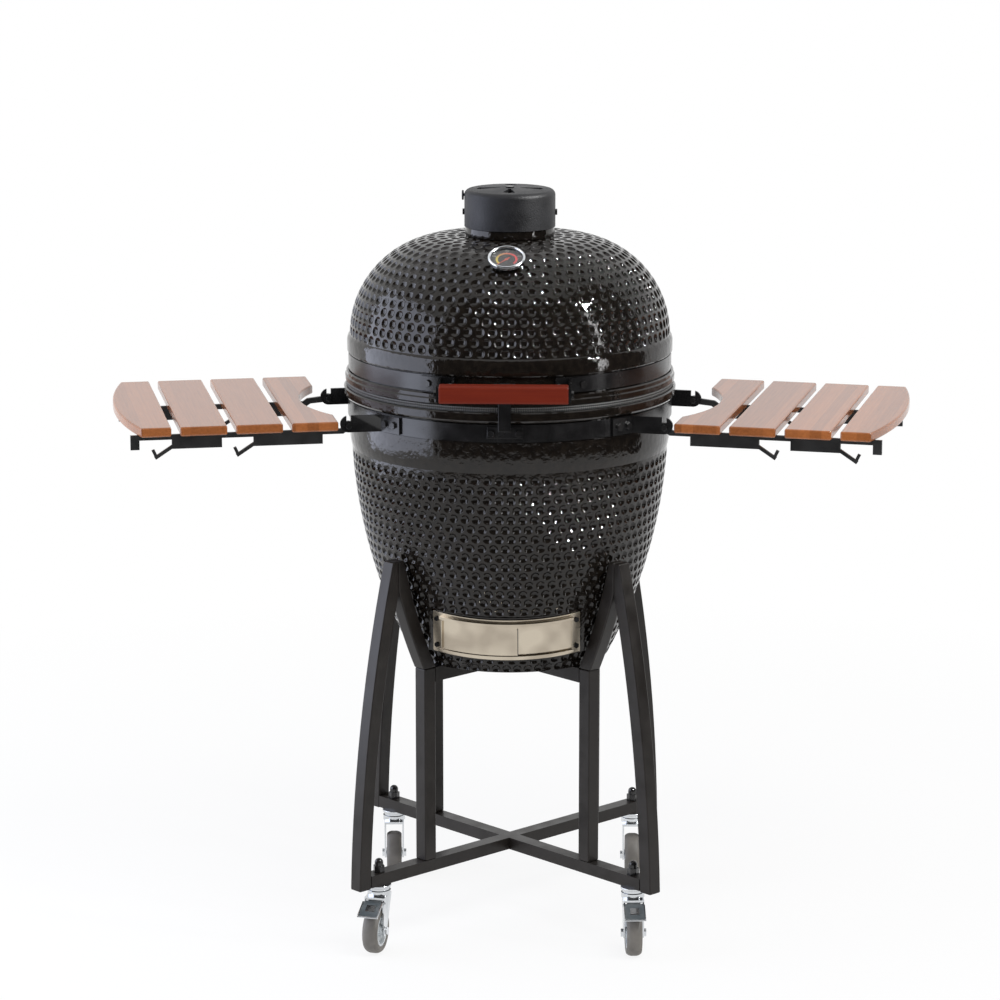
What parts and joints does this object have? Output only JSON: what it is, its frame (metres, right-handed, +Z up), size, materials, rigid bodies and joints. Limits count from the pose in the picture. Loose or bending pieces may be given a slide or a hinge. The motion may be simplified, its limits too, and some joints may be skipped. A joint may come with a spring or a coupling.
{
  "type": "kamado ceramic grill",
  "caption": "Egg-shaped black ceramic charcoal grill with a hinged dimpled lid, top and bottom vents, folding slatted side shelves and a bowed steel stand on swivel casters",
  "frame": {"origin": "on the floor, under the vertical axis of the ceramic body", "axes": "+Z up, the handle and the draft door face -Y, the side shelves stand out along +X and -X"},
  "size_m": [1.3104, 0.6435, 1.2211],
  "materials": {
    "glaze": "deep black gloss glaze with pressed dimples",
    "gasket": "woven glass-fibre seal",
    "band_steel": "satin black powder coat",
    "rail_steel": "black powder coat",
    "stand_steel": "black powder coat",
    "dark_screws": "blackened steel",
    "cast_iron": "fine-grained matt black paint",
    "bright_steel": "polished stainless steel",
    "chrome": "zinc and chrome plate",
    "clay": "unglazed refractory clay",
    "red_wood": "red-brown stained and varnished wood",
    "bamboo": "varnished laminated bamboo",
    "dial": "printed dark dial with a coloured arc",
    "pointer": "red enamel",
    "lens": "clear glass",
    "hub_plastic": "grey moulded plastic",
    "tread": "grey rubber tread"
  },
  "bodies": {
    "grill_base": {"base_shell": "glaze", "base_seal": "gasket", "base_band": "band_steel", "base_band_bolts": "dark_screws", "firebox": "clay", "fire_ring": "clay", "charcoal_grate": "cast_iron", "cooking_grid": "bright_steel", "latch_plate": "band_steel", "shelf_brackets": "band_steel", "shelf_pivot_pins": "dark_screws", "draft_frame": "bright_steel", "draft_bolts": "dark_screws", "hinge_base_bracket": "band_steel", "hinge_pin": "bright_steel", "hinge_springs": "bright_steel", "outer_legs": "stand_steel", "inner_posts": "stand_steel", "leg_braces": "stand_steel", "long_crossbars": "stand_steel", "half_crossbars": "stand_steel", "caster_stems": "chrome", "caster_nuts": "dark_screws"},
    "lid": {"lid_shell": "glaze", "lid_seal": "gasket", "lid_band": "band_steel", "lid_band_bolts": "dark_screws", "hinge_lid_bracket": "band_steel", "handle_bar": "red_wood", "handle_brackets": "band_steel", "thermometer_case": "chrome", "thermometer_dial": "dial", "thermometer_lens": "lens", "thermometer_stem": "bright_steel", "vent_collar": "cast_iron", "vent_cap": "cast_iron", "vent_screws": "dark_screws"},
    "pointer": {"thermometer_pointer": "pointer"},
    "latch": {"latch_arm": "band_steel"},
    "damper": {"vent_damper": "cast_iron"},
    "draft_outer": {"draft_door_outer": "bright_steel"},
    "draft_inner": {"draft_door_inner": "bright_steel"},
    "shelf_left": {"shelf_left_boards": "bamboo", "shelf_left_rails": "rail_steel"},
    "shelf_right": {"shelf_right_boards": "bamboo", "shelf_right_rails": "rail_steel"},
    "caster_fl": {"caster_fork_fl": "chrome"},
    "wheel_fl": {"wheel_hub_fl": "hub_plastic", "wheel_tyre_fl": "tread"},
    "caster_fr": {"caster_fork_fr": "chrome"},
    "wheel_fr": {"wheel_hub_fr": "hub_plastic", "wheel_tyre_fr": "tread"},
    "caster_rl": {"caster_fork_rl": "chrome"},
    "wheel_rl": {"wheel_hub_rl": "hub_plastic", "wheel_tyre_rl": "tread"},
    "caster_rr": {"caster_fork_rr": "chrome"},
    "wheel_rr": {"wheel_hub_rr": "hub_plastic", "wheel_tyre_rr": "tread"},
    "pedal_fl": {"brake_pedal_fl": "chrome"},
    "pedal_fr": {"brake_pedal_fr": "chrome"}
  },
  "joints": [
    {"name": "lid_hinge", "type": "hinge", "parent": "grill_base", "child": "lid", "pos_m": [0, 0.296, 0.904], "axis": [-1, 0, 0], "range_deg": [0, 75]},
    {"name": "latch_pivot", "type": "hinge", "parent": "lid", "child": "latch", "pos_m": [0, -0.279, 0.9408], "axis": [-1, 0, 0], "range_deg": [0, 30]},
    {"name": "damper_turn", "type": "hinge", "parent": "lid", "child": "damper", "pos_m": [0, 0, 1.2071], "axis": [0, 0, 1], "range_deg": [-40, 0]},
    {"name": "pointer_turn", "type": "hinge", "parent": "lid", "child": "pointer", "pos_m": [0, -0.17651, 1.12828], "axis": [0, -0.4618, 0.887], "range_deg": [-270, 0]},
    {"name": "draft_outer_slide", "type": "hinge", "parent": "grill_base", "child": "draft_outer", "pos_m": [0, 0, 0.55769], "axis": [0, -0.1908, 0.9816], "range_deg": [0, 24]},
    {"name": "draft_inner_slide", "type": "hinge", "parent": "grill_base", "child": "draft_inner", "pos_m": [0, 0, 0.55769], "axis": [0, -0.1908, 0.9816], "range_deg": [-24, 0]},
    {"name": "shelf_right_fold", "type": "hinge", "parent": "grill_base", "child": "shelf_right", "pos_m": [0.25, -0.189, 0.863], "axis": [0.2079, 0.9781, 0], "range_deg": [0, 90]},
    {"name": "shelf_left_fold", "type": "hinge", "parent": "grill_base", "child": "shelf_left", "pos_m": [-0.25, -0.189, 0.863], "axis": [0.2079, -0.9781, 0], "range_deg": [0, 90]},
    {"name": "swivel_fl", "type": "hinge", "parent": "grill_base", "child": "caster_fl", "pos_m": [-0.20577, -0.20577, 0.097], "axis": [0, 0, 1], "continuous": true},
    {"name": "spin_fl", "type": "hinge", "parent": "caster_fl", "child": "wheel_fl", "pos_m": [-0.21061, -0.22517, 0.0375], "axis": [0.9703, -0.2419, 0], "continuous": true},
    {"name": "brake_fl", "type": "hinge", "parent": "caster_fl", "child": "pedal_fl", "pos_m": [-0.21061, -0.22517, 0.0837], "axis": [0.9703, -0.2419, 0], "range_deg": [0, 8]},
    {"name": "swivel_fr", "type": "hinge", "parent": "grill_base", "child": "caster_fr", "pos_m": [0.20577, -0.20577, 0.097], "axis": [0, 0, 1], "continuous": true},
    {"name": "spin_fr", "type": "hinge", "parent": "caster_fr", "child": "wheel_fr", "pos_m": [0.20716, -0.22572, 0.0375], "axis": [0.9976, 0.0698, 0], "continuous": true},
    {"name": "brake_fr", "type": "hinge", "parent": "caster_fr", "child": "pedal_fr", "pos_m": [0.20716, -0.22572, 0.0837], "axis": [0.9976, 0.0698, 0], "range_deg": [0, 8]},
    {"name": "swivel_rl", "type": "hinge", "parent": "grill_base", "child": "caster_rl", "pos_m": [-0.20577, 0.20577, 0.097], "axis": [0, 0, 1], "continuous": true},
    {"name": "spin_rl", "type": "hinge", "parent": "caster_rl", "child": "wheel_rl", "pos_m": [-0.20472, 0.1858, 0.0375], "axis": [0.9986, 0.0523, 0], "continuous": true},
    {"name": "swivel_rr", "type": "hinge", "parent": "grill_base", "child": "caster_rr", "pos_m": [0.20577, 0.20577, 0.097], "axis": [0, 0, 1], "continuous": true},
    {"name": "spin_rr", "type": "hinge", "parent": "caster_rr", "child": "wheel_rr", "pos_m": [0.20612, 0.18577, 0.0375], "axis": [0.9998, 0.0174, 0], "continuous": true}
  ]
}
